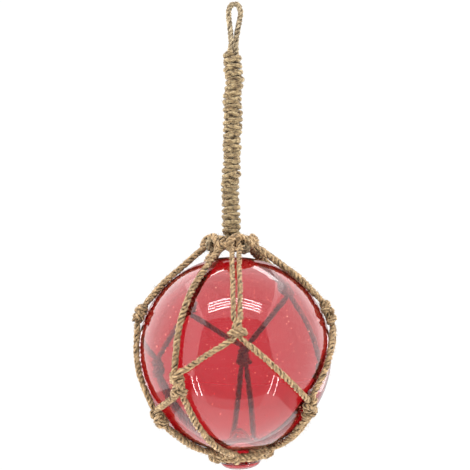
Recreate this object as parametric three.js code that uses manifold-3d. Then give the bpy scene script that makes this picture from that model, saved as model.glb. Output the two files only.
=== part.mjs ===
// Red glass net float in a knotted jute net, hung by a whipped rope handle.
// Millimetres, +Z up, +X to the right and -Y to the front.
// The origin is where a hook bears, inside the top of the hanging loop.
import * as THREE from "three";
import { mergeVertices } from "three/addons/utils/BufferGeometryUtils.js";
import Module from "manifold-3d";

const wasm = await Module();
wasm.setup();

// Driving dimensions, with heights measured from the ball's centre
const BALL_DIAMETER = 127;
const NECK_DIAMETER = 22;
const SEAL_DIAMETER = 26.4;
const SEAL_DROP = 11.6;
const SEAL_TILT = 3.3;
const CORD = 4.3;
const WRAP = 1.9;
const HANGING_CORD = 3.4;
const GAP = 0.35;
const CROWN = { radius: 13.5, height: 69.4, tube: 2.15, shift: -2.4, tilt: 0 };
const BASE = { radius: 17.5, height: -64.9, tube: 2.15, shift: 0, tilt: SEAL_TILT };
const HANDLE = { foot: 76.9, top: 198.1, footWidth: 11.8, topWidth: 13, topLean: -1, sway: 0.5 };
const WHIPPING = { turns: 27, groove: 0.9 };
const LOOP = { bearing: 229.3, widest: 222.4, halfWidth: 4.25 };
const KNOT_LENGTH = 10;
const KNOT_TURNS = 1.6;
const RUN_STEP = 12;
const CORE_STEPS = 6;

// Knots, as degrees around the ball from the front, above its equator and turned from upright
const KNOTS = {
  upperFront: [1.5, 19.5],
  upperRight: [80, 24],
  upperBackRight: [137, 37.5],
  upperBackLeft: [-148, 24],
  upperLeft: [-80, 24],
  lowerFrontLeft: [-31, -10.5],
  lowerFrontRight: [50.5, -25.5, 28],
  lowerBackRight: [113, -15],
  lowerBack: [174, -9],
  lowerBackLeft: [-124, -13.3],
  lowestLeft: [-57, -34],
};

// Net cords: degrees around the crown of the hitch, each leg's knots with the side it passes them on,
// its end on the bottom ring, and the knots this cord is drawn around, with its own leg's side
const NET_CORDS = {
  net_cord_front: {
    hitch: 10,
    legs: [
      { knots: [["upperFront", -1], ["lowerFrontLeft", 1]], end: [-8, 0] },
      { knots: [["upperFront", 1], ["lowerFrontRight", -1]], end: [86, -1.6] },
    ],
    wraps: [["upperFront", 0]],
  },
  net_cord_right: {
    hitch: 73,
    legs: [
      { knots: [["upperRight", -1], ["lowerFrontRight", 1]], end: [86, 1.6] },
      { knots: [["upperRight", 1], ["lowerBackRight", -1]], end: [122, -1] },
    ],
    wraps: [["upperRight", 0], ["lowerFrontRight", 1]],
  },
  net_cord_back_right: {
    hitch: 133,
    legs: [
      { knots: [["upperBackRight", -1], ["lowerBackRight", 1]], end: [122, 1] },
      { knots: [["upperBackRight", 1], ["lowerBack", -1]], end: [152, 0] },
    ],
    wraps: [["upperBackRight", 0], ["lowerBackRight", 1]],
  },
  net_cord_back_left: {
    hitch: -151,
    legs: [
      { knots: [["upperBackLeft", -1], ["lowerBack", 1]], end: [-165, 0] },
      { knots: [["upperBackLeft", 1], ["lowerBackLeft", -1]], end: [-126, -1] },
    ],
    wraps: [["upperBackLeft", 0], ["lowerBack", 1]],
  },
  net_cord_left: {
    hitch: -90,
    legs: [
      { knots: [["upperLeft", -1], ["lowerBackLeft", 1]], end: [-126, 1] },
      { knots: [["upperLeft", 1], ["lowestLeft", -1]], end: [-62, -1] },
    ],
    wraps: [["upperLeft", 0], ["lowerBackLeft", 1]],
  },
  net_cord_closing: {
    hitch: -24,
    legs: [{ knots: [["lowerFrontLeft", -1], ["lowestLeft", 1]], end: [-62, 1] }],
    wraps: [["lowerFrontLeft", -1], ["lowestLeft", 1]],
  },
};
const HANGING_FEET = [-60, 41];

// Degrees around a ring's tube, from its outside up over its top, at each station of a bend
const CROWN_BEND = [120, 75, 30, -15, -50];
const CROWN_BIGHT = [[140, -0.7], [148, 0], [140, 0.7]];
const CROWN_TUCK = [195, 155];
const BASE_BEND = [30, 0, -25, -50];
const FOOT_BEND = [-140, -90, -40, 10, 60, 110];
const CROWN_BAR = -25;

// Values worked out from these
const BALL_RADIUS = BALL_DIAMETER / 2;
const CORD_RADIUS = CORD / 2;
const SURFACE = BALL_RADIUS + GAP + CORD_RADIUS;
const PAIR_OFFSET = CORD_RADIUS + GAP / 2;
const KNOT_RADIUS = BALL_RADIUS + GAP + WRAP + GAP + CORD_RADIUS;
const CORE_OFFSET = HANGING_CORD / 2 + GAP / 2;
const BORE_RADIUS = CORE_OFFSET + HANGING_CORD / 2 + 2 * GAP;

const SWING_AXIS = new THREE.Vector3(0, 1, 0);
const { degToRad, lerp, smoothstep } = THREE.MathUtils;
const glass = new THREE.MeshStandardMaterial({ color: 0xb5142f, roughness: 0.06, metalness: 0 });
const jute = new THREE.MeshStandardMaterial({ color: 0xb9a27c, roughness: 0.9, metalness: 0 });
const paleJute = new THREE.MeshStandardMaterial({ color: 0xbfa585, roughness: 0.9, metalness: 0 });

// Directions from the ball's centre
function direction(azimuth, latitude) {
  const flat = Math.cos(degToRad(latitude));
  const a = degToRad(azimuth);
  return new THREE.Vector3(Math.sin(a) * flat, -Math.cos(a) * flat, Math.sin(degToRad(latitude)));
}

function eastward(azimuth) {
  return new THREE.Vector3(Math.cos(degToRad(azimuth)), Math.sin(degToRad(azimuth)), 0);
}

// A smooth curve whose steps fall on its own stations, so tight bends can have them close together
class StationCurve extends THREE.CatmullRomCurve3 {
  getUtoTmapping(u) {
    return u;
  }
}

function cordTube(stations, diameter, sides) {
  const corners = [];
  for (let i = 0; i < sides; i++) {
    const angle = (2 * Math.PI * i) / sides;
    corners.push(new THREE.Vector2(Math.cos(angle), Math.sin(angle)).multiplyScalar(diameter / 2));
  }
  return new THREE.ExtrudeGeometry(new THREE.Shape(corners), {
    steps: stations.length - 1,
    bevelEnabled: false,
    extrudePath: new StationCurve(stations),
  });
}

// A point beside a ring: degrees around its tube, at a reach from the tube's centre
function besideRing(ring, azimuth, turn, reach, lateral) {
  const point = direction(azimuth, 0);
  point.multiplyScalar(ring.radius + reach * Math.cos(degToRad(turn)));
  point.addScaledVector(eastward(azimuth), lateral);
  point.x += ring.shift;
  point.z = ring.height + reach * Math.sin(degToRad(turn));
  return point.applyAxisAngle(SWING_AXIS, degToRad(-ring.tilt));
}

// Stations of a cord drawn taut over the ball between two points outside it
function tautRun(from, to) {
  const sweep = from.angleTo(to);
  const leave = Math.acos(Math.min(1, SURFACE / from.length()));
  const arrive = Math.acos(Math.min(1, SURFACE / to.length()));
  const axis = from.clone().cross(to).normalize();
  const count = Math.ceil((sweep * SURFACE) / RUN_STEP);
  const stations = [];
  for (let i = 1; i < count; i++) {
    const angle = (sweep * i) / count;
    const lift = Math.max(leave - angle, angle - sweep + arrive, 0);
    const station = from.clone().applyAxisAngle(axis, angle);
    stations.push(station.setLength(SURFACE / Math.cos(lift)));
  }
  return stations;
}

// Turns of cord drawn around one or two legs, in a frame with its axis along them
function wrapTube({ centre, out, across, up }, { half, clearance, shift, start, turns, length, steps }) {
  const deep = CORD_RADIUS + WRAP / 2 + clearance;
  const stations = [];
  for (let i = 0; i <= steps; i++) {
    const angle = 2 * Math.PI * (start + turns * (i / steps));
    const station = centre.clone().addScaledVector(out, deep * Math.sin(angle));
    station.addScaledVector(across, shift + (half + deep) * Math.cos(angle));
    station.addScaledVector(up, length * (0.5 - i / steps));
    stations.push(station);
  }
  return cordTube(stations, WRAP, 5);
}

// Knots: the frame of one, the run of a leg through it, and the turns drawn around its pair of legs
function knotFrame(name) {
  const [azimuth, latitude, tilt = 0] = KNOTS[name];
  const out = direction(azimuth, latitude);
  const across = eastward(azimuth).applyAxisAngle(out, degToRad(tilt));
  const up = out.clone().cross(across);
  return { centre: out.clone().multiplyScalar(KNOT_RADIUS), out, across, up };
}

function throughKnot(name, side) {
  const { centre, across, up } = knotFrame(name);
  const middle = centre.addScaledVector(across, side * PAIR_OFFSET);
  const half = KNOT_LENGTH / 2;
  return [middle.clone().addScaledVector(up, half), middle.clone().addScaledVector(up, -half)];
}

function knotWrap(name, ownSide) {
  return wrapTube(knotFrame(name), {
    half: PAIR_OFFSET,
    clearance: ownSide === 0 ? 0.1 : 2 * GAP,
    shift: ownSide === 0 ? 0.6 : -2.4 * GAP * ownSide,
    start: -0.05,
    turns: KNOT_TURNS,
    length: 0.6 * KNOT_LENGTH,
    steps: 10,
  });
}

// The part of a hitch that lies across its legs on the outside of the crown ring
function hitchBar(hitch, half) {
  const reach = CROWN.tube + GAP + CORD_RADIUS;
  const centre = besideRing(CROWN, hitch, CROWN_BAR, reach, 0);
  const out = centre.clone().sub(besideRing(CROWN, hitch, 0, 0, 0)).normalize();
  const across = eastward(hitch);
  const up = out.clone().cross(across);
  const frame = { centre, out, across, up };
  const bar = { half, clearance: 0.1, shift: 0.6, start: -0.06, turns: 0.62, length: 0, steps: 5 };
  return wrapTube(frame, bar);
}

// Net cords, each from the crown ring through its knots to the bottom ring
function legStations(hitch, lateral, leg) {
  const crownReach = CROWN.tube + GAP + CORD_RADIUS;
  const baseReach = BASE.tube + GAP + CORD_RADIUS;
  const stations = CROWN_BEND.map((turn) => besideRing(CROWN, hitch, turn, crownReach, lateral));
  for (const [knot, side] of leg.knots) {
    const [enter, leave] = throughKnot(knot, side);
    stations.push(...tautRun(stations.at(-1), enter), enter, leave);
  }
  const [azimuth, side] = leg.end;
  const bend = BASE_BEND.map((turn) => {
    return besideRing(BASE, azimuth, turn, baseReach, side * PAIR_OFFSET);
  });
  stations.push(...tautRun(stations.at(-1), bend[0]), ...bend);
  return stations;
}

function cordStations({ hitch, legs }) {
  const reach = CROWN.tube + GAP + CORD_RADIUS;
  if (legs.length === 1) {
    const tuck = CROWN_TUCK.map((turn) => besideRing(CROWN, hitch, turn, reach, 0));
    return [...tuck, ...legStations(hitch, 0, legs[0])];
  }
  const bight = CROWN_BIGHT.map(([turn, share]) => {
    return besideRing(CROWN, hitch, turn, reach, share * PAIR_OFFSET);
  });
  const left = legStations(hitch, -PAIR_OFFSET, legs[0]).reverse();
  return [...left, ...bight, ...legStations(hitch, PAIR_OFFSET, legs[1])];
}

// Handle: its sideways lean at a height, the cord inside it and the turns around that
function handleLean(height) {
  const along = THREE.MathUtils.clamp((height - HANDLE.foot) / (HANDLE.top - HANDLE.foot), 0, 1);
  return lerp(CROWN.shift, HANDLE.topLean, along) - HANDLE.sway * Math.sin(2 * Math.PI * along);
}

function coreHeight(step) {
  return lerp(HANDLE.foot + 3, HANDLE.top, step / CORE_STEPS);
}

function hangingStations(side, footAzimuth) {
  const footReach = CROWN.tube + GAP + HANGING_CORD / 2;
  const under = HANDLE.foot - HANGING_CORD / 2 - 2 * GAP;
  const stations = FOOT_BEND.map((turn) => besideRing(CROWN, footAzimuth, turn, footReach, 0));
  for (const [radius, height] of [[8.5, under - 0.4], [5, under - 0.4], [2.7, under + 1.2]]) {
    const station = direction(footAzimuth, 0).multiplyScalar(radius);
    stations.push(station.setZ(height).setX(station.x + CROWN.shift));
  }
  for (let i = 0; i <= CORE_STEPS; i++) {
    const height = coreHeight(i);
    stations.push(new THREE.Vector3(handleLean(height) + side * CORE_OFFSET, 0, height));
  }
  for (let i = 1; i <= 4; i++) {
    const height = lerp(HANDLE.top, LOOP.widest, i / 4);
    const open = smoothstep(height, HANDLE.top + 2, LOOP.widest);
    const x = HANDLE.topLean * (1 - open) + side * lerp(CORE_OFFSET, LOOP.halfWidth, open);
    stations.push(new THREE.Vector3(x, 0, height));
  }
  const rise = LOOP.bearing + HANGING_CORD / 2 - LOOP.widest;
  for (const degrees of [30, 55, 75]) {
    const x = side * LOOP.halfWidth * Math.cos(degToRad(degrees));
    stations.push(new THREE.Vector3(x, 0, LOOP.widest + rise * Math.sin(degToRad(degrees))));
  }
  return stations;
}

function hangingCord() {
  const left = hangingStations(-1, HANGING_FEET[0]);
  const right = hangingStations(1, HANGING_FEET[1]).reverse();
  const top = new THREE.Vector3(0, 0, LOOP.bearing + HANGING_CORD / 2);
  return cordTube([...left, top, ...right], HANGING_CORD, 5);
}

function handleWhipping() {
  const pitch = (HANDLE.top - HANDLE.foot) / WHIPPING.turns;
  const mouth = new THREE.Vector2(BORE_RADIUS + 1, HANDLE.foot);
  const profile = [mouth];
  for (let turn = 0; turn < WHIPPING.turns; turn++) {
    const crest = lerp(HANDLE.footWidth, HANDLE.topWidth, turn / (WHIPPING.turns - 1)) / 2;
    const start = HANDLE.foot + pitch * turn;
    if (turn > 0) {
      profile.push(new THREE.Vector2(crest - WHIPPING.groove, start));
    }
    profile.push(new THREE.Vector2(crest, start + 0.25 * pitch));
    profile.push(new THREE.Vector2(crest, start + 0.75 * pitch));
  }
  for (let i = CORE_STEPS; i >= 0; i--) {
    profile.push(new THREE.Vector2(BORE_RADIUS, coreHeight(i)));
  }
  profile.push(mouth);
  const geometry = new THREE.LatheGeometry(profile, 8).rotateX(Math.PI / 2);
  const position = geometry.getAttribute("position");
  for (let i = 0; i < position.count; i++) {
    const x = position.getX(i);
    const z = position.getZ(i);
    position.setX(i, x + handleLean(z));
    position.setZ(i, z + (pitch / HANDLE.topWidth / 2) * x);
  }
  return geometry;
}

// Glass ball with its neck and sealing button, turned in one profile
function glassBall() {
  const profile = [];
  const neckAngle = Math.PI - Math.asin(NECK_DIAMETER / BALL_DIAMETER);
  const count = 15;
  for (let i = 0; i <= count; i++) {
    const angle = (neckAngle * i) / count;
    profile.push(new THREE.Vector2(Math.sin(angle), Math.cos(angle)).multiplyScalar(BALL_RADIUS));
  }
  profile[0].x = 0;
  const bottom = -BALL_RADIUS - SEAL_DROP;
  const seal = SEAL_DIAMETER / 2;
  profile.push(new THREE.Vector2(NECK_DIAMETER / 2, bottom + 0.7 * SEAL_DROP));
  profile.push(new THREE.Vector2(0.96 * seal, bottom + 0.52 * SEAL_DROP));
  profile.push(new THREE.Vector2(seal, bottom + 0.4 * SEAL_DROP));
  profile.push(new THREE.Vector2(0.93 * seal, bottom + 0.2 * SEAL_DROP));
  profile.push(new THREE.Vector2(0.7 * seal, bottom + 0.05 * SEAL_DROP));
  profile.push(new THREE.Vector2(0, bottom));
  const geometry = new THREE.LatheGeometry(profile.reverse(), 30).rotateX(Math.PI / 2);
  return geometry.rotateY(degToRad(-SEAL_TILT));
}

function ringGeometry(ring) {
  const geometry = new THREE.TorusGeometry(ring.radius, ring.tube, 5, 18);
  return geometry.translate(ring.shift, 0, ring.height).rotateY(degToRad(-ring.tilt));
}

// Joining
function toSolid(geometry) {
  const bare = geometry.clone();
  bare.deleteAttribute("normal");
  bare.deleteAttribute("uv");
  const merged = mergeVertices(bare, 1e-4);
  const vertProperties = Float32Array.from(merged.attributes.position.array);
  const triVerts = Uint32Array.from(merged.index.array);
  return new wasm.Manifold(new wasm.Mesh({ numProp: 3, vertProperties, triVerts }));
}

function joined(geometries) {
  const { vertProperties, triVerts } = geometries.map(toSolid).reduce((a, b) => a.add(b)).getMesh();
  const geometry = new THREE.BufferGeometry();
  geometry.setAttribute("position", new THREE.BufferAttribute(vertProperties, 3));
  geometry.setIndex(new THREE.BufferAttribute(triVerts, 1));
  return geometry;
}

// Assembly, hung so that the hook's bearing point is the origin
const float = new THREE.Group();
float.name = "net_float";
const hung = new THREE.Group();
hung.name = "hung_ball";
hung.position.z = -LOOP.bearing;
float.add(hung);

function addPiece(name, geometry, material) {
  const mesh = new THREE.Mesh(geometry, material.clone());
  mesh.name = name;
  hung.add(mesh);
}

addPiece("glass_ball", glassBall(), glass);
addPiece("crown_ring", ringGeometry(CROWN), jute);
addPiece("bottom_ring", ringGeometry(BASE), jute);
for (const [name, cord] of Object.entries(NET_CORDS)) {
  const wraps = cord.wraps.map(([knot, ownSide]) => knotWrap(knot, ownSide));
  const bar = hitchBar(cord.hitch, cord.legs.length === 1 ? 0 : PAIR_OFFSET);
  addPiece(name, joined([cordTube(cordStations(cord), CORD, 5), bar, ...wraps]), jute);
}
addPiece("hanging_cord", hangingCord(), paleJute);
addPiece("handle_whipping", handleWhipping(), paleJute);

export default float;
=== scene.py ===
import math
import random
import bpy
from mathutils import Matrix, Vector


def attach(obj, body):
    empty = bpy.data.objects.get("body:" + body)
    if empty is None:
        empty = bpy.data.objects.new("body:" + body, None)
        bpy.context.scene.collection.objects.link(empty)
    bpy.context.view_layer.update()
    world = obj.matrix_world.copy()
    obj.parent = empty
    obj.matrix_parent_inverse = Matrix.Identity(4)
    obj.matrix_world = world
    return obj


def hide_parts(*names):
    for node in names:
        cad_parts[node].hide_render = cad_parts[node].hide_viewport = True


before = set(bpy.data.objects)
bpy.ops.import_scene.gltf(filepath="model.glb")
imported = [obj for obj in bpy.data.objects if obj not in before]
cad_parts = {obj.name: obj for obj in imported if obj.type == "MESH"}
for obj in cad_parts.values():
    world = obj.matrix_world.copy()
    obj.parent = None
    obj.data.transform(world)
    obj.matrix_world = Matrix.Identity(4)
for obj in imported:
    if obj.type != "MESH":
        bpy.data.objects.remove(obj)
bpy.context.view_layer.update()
print("frame loaded:", len(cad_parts), "solids")

# Lengths below are in millimetres from the ball's centre, and placed puts them in the row frame
mm = 0.001
bearing = 229.3


def placed(point):
    return Vector((point.x, point.y, point.z - bearing)) * mm


# Node sockets that add and multiply, in materials and in shape trees alike
class Wire:
    def __init__(self, tree, socket=None):
        self.tree = tree
        self.socket = socket

    def plug(self, target, value):
        if isinstance(value, Wire):
            self.tree.links.new(value.socket, target)
        else:
            target.default_value = value

    def node(self, kind, plugs=None, out=0, **settings):
        made = self.tree.nodes.new(kind)
        for name, value in settings.items():
            setattr(made, name, value)
        for name, value in (plugs or {}).items():
            self.plug(made.inputs[name], value)
        return Wire(self.tree, made.outputs[out])

    def other(self, name):
        return Wire(self.tree, self.socket.node.outputs[name])

    def maths(self, operation, *values):
        return self.node("ShaderNodeMath", dict(enumerate(values)), operation=operation)

    def __add__(self, value):
        return self.maths("ADD", self, value)

    def __radd__(self, value):
        return self.maths("ADD", value, self)

    def __sub__(self, value):
        return self.maths("SUBTRACT", self, value)

    def __rsub__(self, value):
        return self.maths("SUBTRACT", value, self)

    def __mul__(self, value):
        return self.maths("MULTIPLY", self, value)

    def __rmul__(self, value):
        return self.maths("MULTIPLY", value, self)

    def __truediv__(self, value):
        return self.maths("DIVIDE", self, value)

    def __rtruediv__(self, value):
        return self.maths("DIVIDE", value, self)

    def between(self, low, high):
        plugs = {"Value": self, "From Min": low, "From Max": high}
        return self.node("ShaderNodeMapRange", plugs, interpolation_type="SMOOTHSTEP")

    def vector(self, operation, first, second=None, scale=None):
        plugs = {0: first}
        if second is not None:
            plugs[1] = second
        if scale is not None:
            plugs["Scale"] = scale
        out = "Value" if operation == "DISTANCE" else "Vector"
        return self.node("ShaderNodeVectorMath", plugs, out, operation=operation)

    def keep(self, shape, name, value, kind="FLOAT"):
        plugs = {"Geometry": shape, "Name": name, "Value": value}
        return self.node("GeometryNodeStoreNamedAttribute", plugs, data_type=kind, domain="POINT")

    def kept(self, name, kind="FLOAT"):
        return self.node("GeometryNodeInputNamedAttribute", {"Name": name}, data_type=kind)

    def chance(self, seed, low=0.0, high=1.0, **plugs):
        plugs |= {2: low, 3: high, "Seed": seed}
        return self.node("FunctionNodeRandomValue", plugs, 1, data_type="FLOAT")


def newMaterial(name, **values):
    material = bpy.data.materials.new(name)
    material.use_nodes = True
    shader = material.node_tree.nodes["Principled BSDF"]
    for socket, value in values.items():
        shader.inputs[socket.replace("_", " ")].default_value = value
    return material, Wire(material.node_tree), shader


# Jute: straw tops and grooves darkened with painted shade, streaked along each strand
def juteMaterial(name, grooveShade, body, pale):
    material, wire, shader = newMaterial(name, Specular_IOR_Level=0.25, Sheen_Weight=0.15)
    fibre = wire.node("ShaderNodeAttribute", attribute_name="fibre").other("Vector")
    depth = wire.node("ShaderNodeAttribute", attribute_name="depth").other("Fac")
    tone = wire.node("ShaderNodeAttribute", attribute_name="tone").other("Fac")
    spot = wire.node("ShaderNodeTexCoord").other("Object")
    plugs = {"Vector": fibre, "Scale": 2.2, "Detail": 5.0, "Roughness": 0.65}
    streak = wire.node("ShaderNodeTexNoise", plugs)
    patch = wire.node("ShaderNodeTexNoise", {"Vector": spot, "Scale": 620.0, "Detail": 4.0})
    # Painted shade: the colour falls from the body on each strand's top to the dark groove colour between
    # strands
    top = depth.between(0.52, 1.0)
    base = wire.node("ShaderNodeMix", {0: top, 6: grooveShade, 7: body}, 2, data_type="RGBA")
    share = top * streak.between(0.42, 0.62)
    base = wire.node("ShaderNodeMix", {0: share, 6: base, 7: pale}, 2, data_type="RGBA")
    value = 0.42 + 0.3 * tone + 0.8 * patch.between(0.34, 0.66)
    base = wire.node("ShaderNodeHueSaturation", {"Color": base, "Value": value})
    wire.plug(shader.inputs["Base Color"], base)
    wire.plug(shader.inputs["Roughness"], 0.78 + 0.2 * streak)
    height = streak + 0.9 * patch
    bump = wire.node("ShaderNodeBump", {"Height": height, "Strength": 0.7, "Distance": 0.0004})
    wire.plug(shader.inputs["Normal"], bump)
    return material


# Glass: clear at its surface, with the red taken up in its thickness
def glassMaterial(name, tint, density):
    material, wire, shader = newMaterial(name, Roughness=0.0, IOR=1.5, Transmission_Weight=1.0)
    shader.inputs["Base Color"].default_value = (1, 1, 1, 1)
    spot = wire.node("ShaderNodeTexCoord").other("Object")
    ripple = wire.node("ShaderNodeTexNoise", {"Vector": spot, "Scale": 55.0, "Detail": 1.0})
    bump = wire.node("ShaderNodeBump", {"Height": ripple, "Strength": 0.02, "Distance": 0.002})
    wire.plug(shader.inputs["Normal"], bump)
    absorbed = wire.node("ShaderNodeVolumeAbsorption", {"Color": tint, "Density": density})
    wire.plug(material.node_tree.nodes["Material Output"].inputs["Volume"], absorbed)
    return material


# Colours of a jute's grooves (painted shade), its body and its straw tops
netColours = [(0.07, 0.041, 0.018, 1), (0.236, 0.141, 0.065, 1), (0.476, 0.336, 0.186, 1)]
handleColours = [(0.05, 0.027, 0.011, 1), (0.182, 0.118, 0.055, 1), (0.362, 0.28, 0.153, 1)]
loopColours = [(0.07, 0.041, 0.018, 1), (0.23, 0.163, 0.093, 1), (0.466, 0.378, 0.24, 1)]
netJute = juteMaterial("netJute", *netColours)
handleJute = juteMaterial("handleJute", *handleColours)
loopJute = juteMaterial("loopJute", *loopColours)

# The seal is solid, so its tint is thinner than that of the blown wall
glassTint = (0.862, 0.005, 0.158, 1)
redGlass = glassMaterial("redGlass", glassTint, 2010.0)
sealGlass = glassMaterial("sealGlass", glassTint, 210.0)
# Painted glow: the specks' emission stands in for the light they catch and send back from inside the wall
speckGlowLook = {"Base_Color": (1.0, 0.62, 0.42, 1), "Roughness": 0.5}
speckGlowLook |= {"Emission_Color": (1.0, 0.5, 0.34, 1), "Emission_Strength": 0.8}
speckPaintedGlow = newMaterial("speckPaintedGlow", **speckGlowLook)[0]
print("materials made")


# Shapes from node trees, settled into plain meshes
def newTree(name, inputs):
    tree = bpy.data.node_groups.new(name, "GeometryNodeTree")
    for title, kind in inputs.items():
        tree.interface.new_socket(title, in_out="INPUT", socket_type="NodeSocket" + kind)
    tree.interface.new_socket("Shape", in_out="OUTPUT", socket_type="NodeSocketGeometry")
    source = tree.nodes.new("NodeGroupInput")
    return tree, Wire(tree), {title: Wire(tree, source.outputs[title]) for title in inputs}


def endTree(wire, shape, material):
    shape = wire.node("GeometryNodeRealizeInstances", {"Geometry": shape})
    shape = wire.node("GeometryNodeSetShadeSmooth", {"Geometry": shape})
    shape = wire.node("GeometryNodeSetMaterial", {"Geometry": shape, "Material": material})
    target = wire.tree.nodes.new("NodeGroupOutput")
    wire.plug(target.inputs["Shape"], shape)


def settle(name, mesh, tree, values):
    holder = bpy.data.objects.new(name + "Path", mesh)
    bpy.context.scene.collection.objects.link(holder)
    modifier = holder.modifiers.new("shape", "NODES")
    modifier.node_group = tree
    for item in tree.interface.items_tree:
        if item.in_out == "INPUT" and item.name in values:
            modifier[item.identifier] = values[item.name]
    graph = bpy.context.evaluated_depsgraph_get()
    made = bpy.data.meshes.new_from_object(holder.evaluated_get(graph), depsgraph=graph)
    made.name = name
    bpy.data.objects.remove(holder)
    piece = bpy.data.objects.new(name, made)
    bpy.context.scene.collection.objects.link(piece)
    return piece


def addPiece(piece, node):
    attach(piece, "root")
    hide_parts(node)
    piece.data.calc_loop_triangles()
    print(piece.name, len(piece.data.loop_triangles), "triangles")


# Rope: strands laid around a path, with loose fibres standing off them
def laidStrands(wire, given):
    node, keep, kept, vector = wire.node, wire.keep, wire.kept, wire.vector

    # The path wanders a little and keeps its own frame for the strands
    path = node("GeometryNodeMeshToCurve", {"Mesh": given["Path"]})
    path = node("GeometryNodeResampleCurve", {"Curve": path, "Length": given["Step"]}, mode="LENGTH")
    drift = node("ShaderNodeTexNoise", {"Scale": 55.0, "Detail": 1.0}, "Color")
    drift = vector("SCALE", vector("SUBTRACT", drift, (0.5, 0.5, 0.5)), scale=given["Wander"])
    path = node("GeometryNodeSetPosition", {"Geometry": path, "Offset": drift})
    normal = node("GeometryNodeInputNormal")
    across = vector("CROSS_PRODUCT", node("GeometryNodeInputTangent"), normal)
    path = keep(path, "along", node("GeometryNodeSplineParameter").other("Length"))
    path = keep(path, "axis", node("GeometryNodeInputPosition"), "FLOAT_VECTOR")
    path = keep(path, "side", normal, "FLOAT_VECTOR")
    path = keep(path, "across", across, "FLOAT_VECTOR")

    # Each strand winds around it, unevenly, with a tone of its own
    plugs = {"Geometry": path, "Amount": given["Strands"]}
    copies = node("GeometryNodeDuplicateElements", plugs, domain="SPLINE")
    strands = keep(copies, "strand", copies.other("Duplicate Index"))
    strands = keep(strands, "tone", wire.chance(given["Seed"], ID=node("GeometryNodeCurveOfPoint")))
    along, tone = kept("along"), kept("tone")
    slow = node("ShaderNodeTexNoise", {"W": along * 60.0 + tone * 50.0}, noise_dimensions="1D")
    turn = (along / given["Lay"] + kept("strand") / given["Strands"] + 0.5 * (slow - 0.5)) * math.tau
    width = given["Diameter"] * kept("thick")
    lift = vector("SCALE", kept("side", "FLOAT_VECTOR"), scale=turn.maths("COSINE", turn))
    swing = vector("SCALE", kept("across", "FLOAT_VECTOR"), scale=turn.maths("SINE", turn))
    offset = vector("SCALE", vector("ADD", lift, swing), scale=width * given["Spread"])
    strands = node("GeometryNodeSetPosition", {"Geometry": strands, "Offset": offset})

    # A round section swept along each strand, roughened
    ring = node("GeometryNodeCurvePrimitiveCircle", {"Resolution": given["Sides"], "Radius": 1.0})
    ring = keep(ring, "round", node("GeometryNodeSplineParameter") * math.tau)
    swell = given["Round"] * (0.8 + 0.4 * slow)
    plugs = {"Curve": strands, "Profile Curve": ring, "Scale": width * swell, "Fill Caps": True}
    body = node("GeometryNodeCurveToMesh", plugs)
    rough = (node("ShaderNodeTexNoise", {"Scale": 700.0, "Detail": 2.0}) - 0.5) * given["Diameter"] * 0.22
    rough = vector("SCALE", node("GeometryNodeInputNormal"), scale=rough)
    body = node("GeometryNodeSetPosition", {"Geometry": body, "Offset": rough})

    # What the jute's colours read: the share of the way out, which sets the painted shade in the grooves, and
    # a place along and around the strand
    depth = vector("DISTANCE", node("GeometryNodeInputPosition"), kept("axis", "FLOAT_VECTOR"))
    body = keep(body, "depth", depth / (width * 0.5))
    turn = kept("round")
    plugs = {"X": turn.maths("COSINE", turn), "Y": turn.maths("SINE", turn), "Z": along * 160.0 + tone * 90.0}
    return keep(body, "fibre", node("ShaderNodeCombineXYZ", plugs), "FLOAT_VECTOR")


def looseFibres(wire, given, body):
    node, vector = wire.node, wire.vector
    plugs = {"Mesh": body, "Density": given["Fuzz"], "Seed": given["Seed"]}
    roots = node("GeometryNodeDistributePointsOnFaces", plugs)
    plugs = {"Start Handle": (0, 0, 0.4), "End Handle": (0.3, 0, 0.7), "End": (0.7, 0.15, 0.85)}
    hair = node("GeometryNodeCurvePrimitiveBezierSegment", plugs | {"Resolution": 4, "Start": (0, 0, -0.05)})
    taper = 0.03 * (1.15 - node("GeometryNodeSplineParameter"))
    section = node("GeometryNodeCurvePrimitiveCircle", {"Resolution": 3, "Radius": 1.0})
    hair = node("GeometryNodeCurveToMesh", {"Curve": hair, "Profile Curve": section, "Scale": taper})
    plugs = {"Min": (-1, -1, -1), "Max": (1, 1, 1), "Seed": given["Seed"]}
    stray = node("FunctionNodeRandomValue", plugs, data_type="FLOAT_VECTOR")
    lean = vector("ADD", stray, vector("SCALE", roots.other("Normal"), scale=0.75))
    facing = node("FunctionNodeAlignRotationToVector", {"Vector": lean}, axis="Z")
    spread = wire.chance(given["Seed"] + 7)
    reach = given["Fibre"] * (0.25 + 0.75 * spread * spread)
    plugs = {"Points": roots, "Instance": hair, "Rotation": facing, "Scale": reach}
    fuzz = node("GeometryNodeInstanceOnPoints", plugs)
    fuzz = node("GeometryNodeRealizeInstances", {"Geometry": fuzz})
    return wire.keep(wire.keep(fuzz, "depth", 1.0), "tone", 0.8)


def ropeTree():
    inputs = {"Path": "Geometry", "Diameter": "Float", "Lay": "Float", "Strands": "Int", "Step": "Float"}
    inputs |= {"Sides": "Int", "Round": "Float", "Spread": "Float", "Wander": "Float", "Fuzz": "Float"}
    inputs |= {"Fibre": "Float", "Seed": "Int", "Material": "Material"}
    tree, wire, given = newTree("twistedRope", inputs)
    body = laidStrands(wire, given)
    join = tree.nodes.new("GeometryNodeJoinGeometry")
    for shape in (looseFibres(wire, given, body), body):
        wire.plug(join.inputs[0], shape)
    shape = Wire(tree, join.outputs[0])
    for name in ("axis", "side", "across", "strand", "along", "round", "thick"):
        shape = wire.node("GeometryNodeRemoveAttribute", {"Geometry": shape, "Name": name})
    endTree(wire, shape, given["Material"])
    return tree


rope = ropeTree()
laid = {"Strands": 3, "Step": 0.9 * mm, "Sides": 8, "Round": 0.24, "Spread": 0.27}


# A path is a list of stations, each a point and the rope's share of its full thickness there
def station(point, thick=1.0):
    return Vector((point.x, point.y, point.z, thick))


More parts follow.
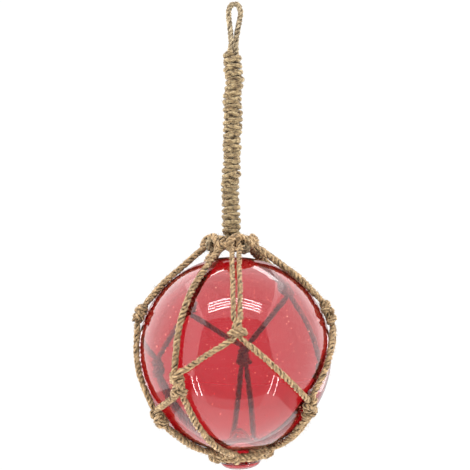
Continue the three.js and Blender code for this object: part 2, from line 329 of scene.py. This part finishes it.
def smoothed(path, step=1.0):
    ends = [2 * path[0] - path[1], *path, 2 * path[-1] - path[-2]]
    points = []
    for a, b, c, d in zip(ends, ends[1:], ends[2:], ends[3:]):
        times = [0.0]
        for p, q in ((a, b), (b, c), (c, d)):
            times.append(times[-1] + math.sqrt(max((q - p).xyz.length, 1e-4)))
        ta, tb, tc, td = times
        count = max(1, math.ceil((c - b).xyz.length / step))
        for i in range(count):
            t = tb + (tc - tb) * i / count
            ab = a.lerp(b, (t - ta) / (tb - ta))
            bc = b.lerp(c, (t - tb) / (tc - tb))
            cd = c.lerp(d, (t - tc) / (td - tc))
            abc = ab.lerp(bc, (t - ta) / (tc - ta))
            bcd = bc.lerp(cd, (t - tb) / (td - tb))
            points.append(abc.lerp(bcd, (t - tb) / (tc - tb)))
    return points + [path[-1]]


def ropePiece(name, paths, look):
    points, edges, thick = [], [], []
    for path in paths:
        line = smoothed(path)
        edges += [(len(points) + i, len(points) + i + 1) for i in range(len(line) - 1)]
        points += [placed(p) for p in line]
        thick += [p.w for p in line]
    mesh = bpy.data.meshes.new(name + "Path")
    mesh.from_pydata(points, edges, [])
    mesh.attributes.new("thick", "FLOAT", "POINT").data.foreach_set("value", thick)
    return settle(name, mesh, rope, look)


# Driving sizes of the ball, the cord and the two rings
ball = {"radius": 63.5, "wall": 1.1, "neck": 11.0, "seal": 13.2, "sealDrop": 11.6, "tilt": 3.3}
ball |= {"columns": 144, "rows": 84, "dimple": 14.0, "dimpleRise": 13.0}
cord = 4.3
touch = 0.1
crown = {"radius": 12.6, "height": 71.4, "tube": 2.15, "shift": -2.4, "tilt": 0.0}
base = {"radius": 17.2, "height": -64.4, "tube": 2.15, "shift": 0.0, "tilt": ball["tilt"]}
surface = ball["radius"] + touch + cord / 2


def around(azimuth, latitude=0.0):
    a, l = math.radians(azimuth), math.radians(latitude)
    return Vector((math.sin(a) * math.cos(l), -math.cos(a) * math.cos(l), math.sin(l)))


def eastward(azimuth):
    return Vector((math.cos(math.radians(azimuth)), math.sin(math.radians(azimuth)), 0))


def swung(point, tilt):
    return Matrix.Rotation(math.radians(-tilt), 3, "Y") @ point


def besideRing(ring, azimuth, turn, reach, lateral=0.0):
    t = math.radians(turn)
    point = around(azimuth) * (ring["radius"] + reach * math.cos(t)) + eastward(azimuth) * lateral
    return swung(point + Vector((ring["shift"], 0, ring["height"] + reach * math.sin(t))), ring["tilt"])


def tautRun(start, finish, thick=1.0, spacing=6.0):
    start, finish = start.xyz, finish.xyz
    sweep = start.angle(finish)
    leave = math.acos(min(1, surface / start.length))
    arrive = math.acos(min(1, surface / finish.length))
    axis = start.cross(finish).normalized()
    count = math.ceil(sweep * surface / spacing)
    path = []
    for i in range(1, count):
        angle = sweep * i / count
        lift = max(leave - angle, angle - sweep + arrive, 0)
        heading = Matrix.Rotation(angle, 3, axis) @ start
        path.append(station(heading.normalized() * (surface / math.cos(lift)), thick))
    return path


# Knots: degrees around the ball from the front, above its equator and turned from upright, the length,
# and the turns drawn around the pair: millimetres above the middle, slant in degrees, turns and lift
knots = {
    "upperFront": (1.5, 19.5, 0, 12, [(-2.6, 4, 1.5, 0.4), (1.0, 72, 0.8, 0.0)]),
    "upperRight": (80, 24, 0, 18, [(5.0, 25, 1.2, 0.0), (0.6, -30, 1.1, 0.4), (-4.6, 12, 1.2, 0.2)]),
    "upperBackRight": (137, 37.5, 0, 13, [(2.4, -30, 1.2, 0.0), (0.4, 40, 1.0, 0.5), (-2.8, 15, 1.2, 0.4)]),
    "upperBackLeft": (-148, 24, 0, 13, [(1.8, 35, 1.2, 0.0), (0.2, -45, 1.0, 0.5), (-2.8, -10, 1.2, 0.3)]),
    "upperLeft": (-80, 24, 0, 14, [(2.0, -32, 1.1, 0.0), (1.0, 30, 1.0, 0.6), (-3.0, 0, 1.2, 0.2)]),
    "lowerFrontLeft": (-31, -10.5, 0, 14, [(5.2, 44, 1.2, 0.1), (2.4, -58, 1.1, 0.6), (-0.6, 50, 1.1, 0.4),
                                            (-4.8, 6, 1.3, 0.3)]),
    "lowerFrontRight": (50.5, -25.5, 28, 15, [(3.2, 50, 1.1, 0.2), (0.4, -48, 1.1, 0.6),
                                              (-4.6, -8, 1.2, 0.3)]),
    "lowerBackRight": (113, -15, 0, 14, [(2.0, 35, 1.2, 0.0), (0.2, -40, 1.0, 0.5), (-2.8, -15, 1.2, 0.3)]),
    "lowerBack": (174, -9, 0, 16, [(3.2, -46, 1.2, 0.2), (0.6, 46, 1.2, 0.7), (-3.8, 0, 1.4, 0.4)]),
    "lowerBackLeft": (-124, -13.3, 0, 15, [(2.4, 40, 1.2, 0.0), (0.2, -44, 1.0, 0.5), (-3.2, -20, 1.2, 0.3)]),
    "lowestLeft": (-57, -34, 0, 14, [(2.4, -45, 1.1, 0.0), (0.4, 45, 1.0, 0.6), (-3.4, 0, 1.2, 0.2)]),
}
knotForm = {"height": 3.1, "apart": 2.0, "deep": 0.8, "squeeze": 0.82, "wide": 4.4, "thin": 3.0, "steps": 8}
knotWrap = {"start": -0.3, "length": 1.6, "thick": 0.86}
drawn = {"perTurn": 12, "tuck": 0.6, "bed": -1.0}
cutForm = {"line": [(0.0, 1.5), (0.5, 2.5), (1.0, 3.0)], "thick": 0.75}


def knotFrame(name, slant=0.0):
    azimuth, latitude, tilt = knots[name][:3]
    out = around(azimuth, latitude)
    across = Matrix.Rotation(math.radians(tilt + slant), 3, out) @ eastward(azimuth)
    return out * (ball["radius"] + knotForm["height"]), out, across, out.cross(across)


def throughKnot(name, side):
    centre, out, across, up = knotFrame(name)
    length = knots[name][3]
    steps = knotForm["steps"]
    path = []
    for i in range(steps + 1):
        turn = math.tau * i / steps
        point = centre + up * length * (0.5 - i / steps)
        point += across * side * knotForm["apart"] * math.cos(turn)
        point += out * side * knotForm["deep"] * math.sin(turn)
        path.append(station(point, knotForm["squeeze"]))
    return path


def drawnAround(centre, out, across, up, wide, deep, start, turns, length, thick):
    count = math.ceil(turns * drawn["perTurn"])
    path = []
    for i in range(count + 1):
        turn = math.tau * (start + turns * i / count)
        tuck = drawn["tuck"] if i in (0, count) else 1.0
        reach = deep * math.sin(turn)
        point = centre + across * wide * tuck * math.cos(turn) + out * max(reach * tuck, drawn["bed"])
        path.append(station(point + up * length * (0.5 - i / count), thick))
    return path


def knotWraps(name):
    upward = knotFrame(name)[3]
    paths = []
    for above, slant, turns, lift in knots[name][4]:
        centre, out, across, up = knotFrame(name, slant)
        middle = centre + upward * above + out * lift * 0.5
        wide = knotForm["wide"] / math.cos(math.radians(0.6 * slant))
        deep = knotForm["thin"] + lift * 0.5
        paths.append(drawnAround(middle, out, across, up, wide, deep, turns=turns, **knotWrap))
    return paths


def cutEnd(name, across, up):
    centre, out, east, north = knotFrame(name)
    end = east * across + north * up
    return [station(centre + share * end + out * lift, cutForm["thick"]) for share, lift in cutForm["line"]]


# Net cords: degrees around the crown of the hitch, each leg's knots with the side it passes them on,
# its end on the bottom ring, the knots this cord is drawn around, cut ends that stand out of them,
# and the share of its thickness that a cord drawn thin starts with
netCords = {
    "net_cord_front": {
        "hitch": 10,
        "legs": [
            {"knots": [("upperFront", -1), ("lowerFrontLeft", 1)], "end": (-8, 0)},
            {"knots": [("upperFront", 1), ("lowerFrontRight", -1)], "end": (86, -1.6)},
        ],
        "wraps": ["upperFront"],
        "slim": 0.8,
    },
    "net_cord_right": {
        "hitch": 73,
        "legs": [
            {"knots": [("upperRight", -1), ("lowerFrontRight", 1)], "end": (86, 1.6)},
            {"knots": [("upperRight", 1), ("lowerBackRight", -1)], "end": (122, -1)},
        ],
        "wraps": ["upperRight", "lowerFrontRight"],
    },
    "net_cord_back_right": {
        "hitch": 133,
        "legs": [
            {"knots": [("upperBackRight", -1), ("lowerBackRight", 1)], "end": (122, 1)},
            {"knots": [("upperBackRight", 1), ("lowerBack", -1)], "end": (152, 0)},
        ],
        "wraps": ["upperBackRight", "lowerBackRight"],
    },
    "net_cord_back_left": {
        "hitch": -151,
        "legs": [
            {"knots": [("upperBackLeft", -1), ("lowerBack", 1)], "end": (-165, 0)},
            {"knots": [("upperBackLeft", 1), ("lowerBackLeft", -1)], "end": (-126, -1)},
        ],
        "wraps": ["upperBackLeft", "lowerBack"],
    },
    "net_cord_left": {
        "hitch": -90,
        "legs": [
            {"knots": [("upperLeft", -1), ("lowerBackLeft", 1)], "end": (-126, 1)},
            {"knots": [("upperLeft", 1), ("lowestLeft", -1)], "end": (-62, -1)},
        ],
        "wraps": ["upperLeft", "lowerBackLeft"],
        "cutEnds": [("upperLeft", 3.0, -6.5)],
    },
    "net_cord_closing": {
        "hitch": -24,
        "legs": [{"knots": [("lowerFrontLeft", -1), ("lowestLeft", 1)], "end": (-62, 1)}],
        "wraps": ["lowerFrontLeft", "lowestLeft"],
    },
}
pairOffset = cord / 2 + 0.1
crownReach = crown["tube"] + cord / 2 - 0.2
baseReach = base["tube"] + cord / 2 - 0.9
# Bends around the rings' sections, in degrees from outward to upward
crownBend = (120, 75, 30, -15)
crownTuck = (195, 155)
crownBight = ((140, -0.7), (148, 0), (140, 0.7))
baseBend = (30, 0, -30, -65, -105)
hitchForm = {"turn": -25, "beyond": 2.9}
hitchWrap = {"deep": 3.0, "start": -0.1, "turns": 0.7, "length": 0.6, "thick": 0.8}


def legPath(hitch, lateral, leg, slim):
    path = [station(besideRing(crown, hitch, t, crownReach, lateral), slim) for t in crownBend]
    for name, side in leg["knots"]:
        inside = throughKnot(name, side)
        path += tautRun(path[-1], inside[0], slim) + inside
        slim = (slim + 1) / 2
    azimuth, share = leg["end"]
    bend = [besideRing(base, azimuth, t, baseReach, share * pairOffset) for t in baseBend]
    return path + tautRun(path[-1], bend[0]) + [station(point) for point in bend]


def cordPath(hitch, legs, slim):
    if len(legs) == 1:
        tuck = [station(besideRing(crown, hitch, t, crownReach)) for t in crownTuck]
        return tuck + legPath(hitch, 0, legs[0], slim)
    bight = [station(besideRing(crown, hitch, t, crownReach, s * pairOffset), slim) for t, s in crownBight]
    left, right = legPath(hitch, -pairOffset, legs[0], slim), legPath(hitch, pairOffset, legs[1], slim)
    return left[::-1] + bight + right


def hitchBar(hitch, half):
    centre = besideRing(crown, hitch, hitchForm["turn"], crownReach)
    out = (centre - besideRing(crown, hitch, 0, 0)).normalized()
    across = eastward(hitch)
    return drawnAround(centre, out, across, out.cross(across), half + hitchForm["beyond"], **hitchWrap)


netLook = laid | {"Diameter": cord * mm, "Lay": 9.5 * mm, "Wander": 0.5 * mm, "Material": netJute}
netLook |= {"Fuzz": 220000.0, "Fibre": 3.2 * mm}
for order, (name, net) in enumerate(netCords.items()):
    paths = [cordPath(net["hitch"], net["legs"], net.get("slim", 1.0))]
    for knot in net["wraps"]:
        paths += knotWraps(knot)
    paths += [cutEnd(*end) for end in net.get("cutEnds", [])]
    paths.append(hitchBar(net["hitch"], 0 if len(net["legs"]) == 1 else pairOffset))
    addPiece(ropePiece(name + "_rope", paths, netLook | {"Seed": 11 + order}), name)


# Rings that gather the net: a turn woven in front of the hitches above, and two turns below
ringStep = 10
closed = {"from": 150, "turn": 180, "spread": 0.04, "steps": 40}
weave = {"from": 150, "to": 540, "reach": 5.6, "turn": 35, "swing": 40, "waves": 5}
coil = {"from": 20, "turn": 75, "sink": 1.8, "reach": 1.9, "steps": 79}


def closedPoint(i):
    return besideRing(crown, closed["from"] + ringStep * i, closed["turn"], closed["spread"] * i)


def wovenPoint(azimuth):
    turn = weave["turn"] + weave["swing"] * math.sin(math.radians(weave["waves"] * azimuth))
    return besideRing(crown, azimuth, turn, weave["reach"])


def coiledPoint(i):
    return besideRing(base, coil["from"] + ringStep * i, coil["turn"] - coil["sink"] * i, coil["reach"])


closedTurn = [closedPoint(i) for i in range(closed["steps"])]
wovenTurn = [wovenPoint(azimuth) for azimuth in range(weave["from"], weave["to"], ringStep)]
baseTurns = [coiledPoint(i) for i in range(coil["steps"])]
ringLook = laid | {"Diameter": 4.4 * mm, "Lay": 9.5 * mm, "Wander": 1.2 * mm, "Material": netJute}
ringLook |= {"Fuzz": 200000.0, "Fibre": 3.4 * mm}
for node, turns, seed in (("crown_ring", [closedTurn, wovenTurn], 150), ("bottom_ring", [baseTurns], 20)):
    paths = [[station(point) for point in turn] for turn in turns]
    addPiece(ropePiece(node + "_rope", paths, ringLook | {"Seed": seed}), node)


# Handle: the doubled hanging cord with its loop, and the cord whipped around it.
# Its line leans and sways, given as heights and shifts to the right
handle = {"foot": 76.2, "top": 199.2, "footWidth": 12.6, "topWidth": 13.3, "coreRise": 3}
handleLine = [(75.4, -2.2), (84.4, -2.1), (96.4, -2.4), (108.4, -3.0), (123.4, -1.8), (139.4, -1.7)]
handleLine += [(153.4, -0.9), (167.4, -1.5), (179.4, 0.2), (188.4, -1.1), (195.4, -1.5), (201.4, -0.6)]
loop = {"cord": 4.0, "feet": (-60, 41), "footThick": 1.15, "rise": 5.9, "widest": 224.0}
loop |= {"lean": -0.8, "leanOver": 24, "twistDeep": 1.9}
# Heights along the loop, half its width there and how far its two sides twist around each other
loopLine = [(200.4, 1.7, 10), (204.4, 1.4, 50), (208.4, 1.9, 20), (212.4, 2.4, 5), (216.4, 3.0, 0)]
loopLine += [(220.4, 3.7, 0), (224.0, 4.0, 0)]
loopTop = (30, 55, 75)
footBend = (-140, -90, -40, 10, 60, 110)
footLine = ((8.5, 0.6), (5, 0.4), (2.7, 1.2))
coreSteps = 20


def between(line, height):
    for (low, a), (high, b) in zip(line, line[1:]):
        if height <= high:
            share = min(max((height - low) / (high - low), 0), 1)
            return a + (b - a) * share * share * (3 - 2 * share)
    return line[-1][1]


def hangingSide(side, foot):
    reach = crown["tube"] + loop["cord"] / 2
    path = [station(besideRing(crown, foot, t, reach), loop["footThick"]) for t in footBend]
    under = handle["foot"] - loop["cord"] / 2
    for radius, above in footLine:
        path.append(station(around(foot) * radius + Vector((crown["shift"], 0, under + above))))
    coreFoot = handle["foot"] + handle["coreRise"]
    for i in range(coreSteps + 1):
        height = coreFoot + (handle["top"] - handle["foot"] - handle["coreRise"]) * i / coreSteps
        path.append(station(Vector((between(handleLine, height) + side * loop["cord"] * 0.5, 0, height))))
    for height, wide, twist in loopLine:
        lean = loop["lean"] * (loop["widest"] - height) / loop["leanOver"]
        deep = loop["twistDeep"] * math.sin(math.radians(twist))
        path.append(station(Vector((lean + side * wide, side * deep, height))))
    for turn in loopTop:
        t = math.radians(turn)
        wide = loopLine[-1][1] * math.cos(t)
        path.append(station(Vector((side * wide, 0, loop["widest"] + loop["rise"] * math.sin(t)))))
    return path


loopLook = laid | {"Diameter": loop["cord"] * mm, "Lay": 8.5 * mm, "Spread": 0.265, "Material": loopJute}
loopLook |= {"Wander": 0.3 * mm, "Fuzz": 140000.0, "Fibre": 2.6 * mm, "Seed": 31}
top = station(Vector((0, 0, loop["widest"] + loop["rise"])))
path = hangingSide(-1, loop["feet"][0]) + [top] + hangingSide(1, loop["feet"][1])[::-1]
addPiece(ropePiece("hanging_cord_rope", [path], loopLook), "hanging_cord")


# The whipping's turns are drawn close, so that each beds into the next, and no two are quite alike
whipping = {"cord": 5.1, "sunk": 2.45, "turns": 27, "perTurn": 16, "lift": 0.5, "swell": 0.3}
whipping |= {"rise": 0.6, "short": 2.8, "ease": 5}


def whippingPath():
    chance = random.Random(5)
    perTurn, total = whipping["perTurn"], whipping["turns"] * whipping["perTurn"]
    span = handle["top"] - handle["foot"] - whipping["short"]
    path = []
    for i in range(total + 1):
        share = i / total
        if i % perTurn == 0:
            lift = chance.uniform(-whipping["lift"], whipping["lift"])
            swell = chance.uniform(-whipping["swell"], whipping["swell"])
        crest = (handle["footWidth"] + (handle["topWidth"] - handle["footWidth"]) * share) / 2 + swell
        height = handle["foot"] + whipping["rise"] + span * share
        ease = min(1, (i + 2) / whipping["ease"], (total - i) / whipping["ease"])
        point = around(360 * i / perTurn) * (crest - whipping["sunk"]) * (0.5 + 0.5 * ease)
        rise = height + lift * math.sin(math.pi * (i % perTurn) / perTurn)
        path.append(station(point + Vector((between(handleLine, height), 0, rise))))
    return path


whippingLook = laid | {"Diameter": whipping["cord"] * mm, "Lay": 26 * mm, "Round": 0.285, "Spread": 0.2}
whippingLook |= {"Wander": 0.3 * mm, "Fuzz": 60000.0, "Fibre": 2.6 * mm, "Seed": 37, "Material": handleJute}
addPiece(ropePiece("handle_whipping_rope", [whippingPath()], whippingLook), "handle_whipping")


# Glass ball: an outer skin with the hollow inside it, gently waved, and pale specks with a painted glow
# caught in its wall
def glassTree():
    tree, wire, given = newTree("wavedGlass", {"Skin": "Geometry", "Wave": "Float", "Material": "Material"})
    wave = wire.node("ShaderNodeTexNoise", {"Scale": 24.0, "Detail": 1.0})
    push = (wave - 0.5) * given["Wave"]
    normal = wire.node("GeometryNodeInputNormal")
    plugs = {"Geometry": given["Skin"], "Offset": wire.vector("SCALE", normal, scale=push)}
    skin = wire.node("GeometryNodeSetPosition", plugs)
    endTree(wire, skin, given["Material"])
    return tree


def speckTree():
    inputs = {"Skin": "Geometry", "Density": "Float", "Wall": "Float", "Largest": "Float", "Seed": "Int"}
    tree, wire, given = newTree("speckledGlass", inputs | {"Material": "Material"})
    node = wire.node
    plugs = {"Mesh": given["Skin"], "Density": given["Density"], "Seed": given["Seed"]}
    spots = node("GeometryNodeDistributePointsOnFaces", plugs)
    sink = wire.chance(given["Seed"], 0.3, 0.7) * given["Wall"] * -1.0
    offset = wire.vector("SCALE", spots.other("Normal"), scale=sink)
    spots = node("GeometryNodeSetPosition", {"Geometry": spots, "Offset": offset})
    size = wire.chance(given["Seed"] + 3)
    size = given["Largest"] * (0.3 + 0.7 * size * size * size)
    bead = node("GeometryNodeMeshIcoSphere", {"Radius": 1.0, "Subdivisions": 1})
    specks = node("GeometryNodeInstanceOnPoints", {"Points": spots, "Instance": bead, "Scale": size})
    endTree(wire, specks, given["Material"])
    return tree


def turned(profile, columns, inward, points, faces):
    start = len(points)
    rings = [(0, profile[0][1])] + profile[1:-1] + [(0, profile[-1][1])]
    for radius, height in rings:
        for c in range(columns if radius else 1):
            point = around(360 * c / columns) * radius + Vector((0, 0, height))
            points.append(placed(swung(point, ball["tilt"])))
    last = len(points) - 1
    made = []
    for c in range(columns):
        n = (c + 1) % columns
        made.append((start, start + 1 + n, start + 1 + c))
        for r in range(len(profile) - 3):
            low, high = start + 1 + r * columns, start + 1 + (r + 1) * columns
            made.append((low + c, low + n, high + n, high + c))
        made.append((last - columns + c, last - columns + n, last))
    faces += [face[::-1] for face in made] if inward else made


def meshOf(name, points, faces):
    mesh = bpy.data.meshes.new(name)
    mesh.from_pydata(points, [], faces)
    return mesh


def roundProfile(radius, count):
    profile = []
    for i in range(count + 1):
        turn = math.pi * i / count
        wide, height = radius * math.sin(turn), -radius * math.cos(turn)
        if height < 0 and wide < ball["dimple"]:
            share = 1 - wide / ball["dimple"]
            height += ball["dimpleRise"] * share * share * (3 - 2 * share)
        profile.append((wide, height))
    return profile


def ballSkin(hollow):
    points, faces = [], []
    turned(roundProfile(ball["radius"], ball["rows"]), ball["columns"], False, points, faces)
    if hollow:
        inside = roundProfile(ball["radius"] - ball["wall"], ball["rows"])
        turned(inside, ball["columns"], True, points, faces)
    return meshOf("ballSkin", points, faces)


# The seal's edge, in shares of its radius and of its drop
sealEdge = ((0.7, 0.05), (0.93, 0.2), (1.0, 0.4), (0.96, 0.52))


def sealSkin():
    drop, seal = ball["sealDrop"], ball["seal"]
    bottom = -ball["radius"] - drop
    outline = [(0.1, bottom + 0.3), (4, bottom)]
    outline += [(wide * seal, bottom + high * drop) for wide, high in sealEdge]
    outline.append((ball["neck"], bottom + 0.7 * drop))
    meet = ball["radius"] + 0.1
    neck = math.asin(ball["neck"] / meet)
    outline += [(meet * math.sin(neck * i / 6), -meet * math.cos(neck * i / 6)) for i in range(6, 0, -1)]
    soft = smoothed([Vector((r, h, 0, 1)) for r, h in outline], 0.7)
    points, faces = [], []
    turned([(0, bottom + 0.3)] + [(p.x, p.y) for p in soft] + [(0, -meet)], 72, False, points, faces)
    return meshOf("sealSkin", points, faces)


wavedGlass = glassTree()
shellLook = {"Wave": 0.12 * mm, "Material": redGlass}
addPiece(settle("glass_ball_shell", ballSkin(True), wavedGlass, shellLook), "glass_ball")
sealLook = {"Wave": 0.5 * mm, "Material": sealGlass}
addPiece(settle("glass_ball_seal", sealSkin(), wavedGlass, sealLook), "glass_ball")
specks = {"Density": 16000.0, "Wall": ball["wall"] * mm, "Largest": 0.55 * mm, "Seed": 4}
specks["Material"] = speckPaintedGlow
addPiece(settle("glass_ball_specks", ballSkin(False), speckTree(), specks), "glass_ball")


# Stage: a pale floor well below, soft light all round, and two grey cards that show only in reflections
def card(name, centre, facing, width, height, material):
    mesh = bpy.data.meshes.new(name)
    corners = [(-width / 2, -height / 2, 0), (width / 2, -height / 2, 0), (width / 2, height / 2, 0)]
    mesh.from_pydata(corners + [(-width / 2, height / 2, 0)], [], [(0, 1, 2, 3)])
    mesh.materials.append(material)
    piece = bpy.data.objects.new(name, mesh)
    piece.location = centre
    piece.rotation_euler = Vector(facing).to_track_quat("Z", "Y").to_euler()
    bpy.context.scene.collection.objects.link(piece)
    return piece


def flatMaterial(name, colour):
    return newMaterial(name, Base_Color=colour, Roughness=1.0, Specular_IOR_Level=0.0)[0]


card("floor", (0, 0, -1.5), (0, 0, 1), 16, 16, flatMaterial("paleFloor", (0.99, 0.99, 0.99, 1)))
darkCard = flatMaterial("darkCard", (0.45, 0.45, 0.45, 1))
greyCard = flatMaterial("greyCard", (0.35, 0.3, 0.3, 1))
opening = card("opening", (0, -0.75, -0.55), (0, 1, 0), 1.3, 2.0, darkCard)
rear = card("rear", (0, 0.6, -0.23), (0, -1, 0), 0.5, 0.5, greyCard)
for flag in (opening, rear):
    flag.visible_camera = False
    flag.visible_diffuse = False
    flag.visible_transmission = False
    flag.visible_shadow = False

# Lights: the centre from the ball's, the way of the long side, its length, the width and the brightness
lights = {
    "leftTent": {"at": (-0.79, 0.12, 0.2), "along": (0.2, 1, 0), "size": (2.5, 1.5), "glow": 2.0},
    "rightTent": {"at": (0.81, 0.12, 0.2), "along": (-0.2, 1, 0), "size": (2.42, 1.5), "glow": 1.82},
    "topTent": {"at": (0.0, -0.04, 0.92), "along": (1, 0, 0), "size": (1.5, 1.56), "glow": 1.45},
    "lowTent": {"at": (0.0, -0.1, -0.85), "along": (1, 0, 0), "size": (1.7, 1.36), "glow": 1.25},
    "leftBrow": {"at": (-0.24, 0.39, 0.84), "along": (0.27, 0.19, 0), "size": (0.42, 0.05), "glow": 9.0},
    "rightBrow": {"at": (0.28, 0.6, 0.76), "along": (0.34, -0.25, 0.05), "size": (0.45, 0.12), "glow": 5.0},
}
tubes = {
    "leftTube1": {"at": (-0.567, -0.48, -0.397), "along": (0.114, 0.086, -0.259), "long": 0.3},
    "leftTube2": {"at": (-0.506, -0.535, -0.405), "along": (0.108, 0.114, -0.281), "long": 0.32},
    "rightTube1": {"at": (0.59, -0.463, -0.374), "along": (-0.111, 0.108, -0.299), "long": 0.34},
    "rightTube2": {"at": (0.524, -0.531, -0.386), "along": (-0.127, 0.092, -0.294), "long": 0.33},
}
tubeWidth = 0.014
for name, tube in tubes.items():
    lights[name] = tube | {"size": (tube["long"], tubeWidth), "glow": 23.0}
stripRows = ((-0.316, 0.848), (-0.37, 0.827), (-0.422, 0.804), (-0.472, 0.777))
for row, (forward, high) in enumerate(stripRows):
    for side in (-1, 1):
        strip = {"at": (side * 0.215, forward, high), "along": (side * 0.42, 0, -0.1)}
        lights[f"strip{row}{side}"] = strip | {"size": (0.43, 0.022), "glow": 25.0}
centre = Vector((0, 0, -bearing * mm))
for name, light in lights.items():
    lamp = bpy.data.lights.new(name, "AREA")
    lamp.shape = "RECTANGLE"
    lamp.size, lamp.size_y = light["size"]
    lamp.energy = light["glow"] * math.pi * lamp.size * lamp.size_y
    away = Vector(light["at"]).normalized()
    along = Vector(light["along"])
    along = (along - away * along.dot(away)).normalized()
    turn = Matrix((along, away.cross(along), away)).transposed()
    holder = bpy.data.objects.new(name, lamp)
    holder.matrix_world = Matrix.Translation(centre + Vector(light["at"])) @ turn.to_4x4()
    holder.visible_camera = False
    holder.visible_diffuse = "Tent" in name
    holder.visible_transmission = False
    bpy.context.scene.collection.objects.link(holder)

world = bpy.data.worlds.new("studio")
world.use_nodes = True
world.node_tree.nodes["Background"].inputs["Color"].default_value = (1, 1, 1, 1)
world.node_tree.nodes["Background"].inputs["Strength"].default_value = 1.04
bpy.context.scene.world = world
bpy.context.scene.view_settings.view_transform = "Standard"

# Camera: level, looking along +Y, with the ball's centre low in the picture
view = {"distance": 650.0, "height": 77.7, "right": 0.33, "lens": 75.66, "sensor": 36.0}
lens = bpy.data.cameras.new("camera")
lens.lens = view["lens"]
lens.sensor_width = view["sensor"]
camera = bpy.data.objects.new("camera", lens)
camera.location = placed(Vector((view["right"], -view["distance"], view["height"])))
camera.rotation_euler = (math.pi / 2, 0, 0)
bpy.context.scene.collection.objects.link(camera)
bpy.context.scene.camera = camera
print("stage, lights and camera set")
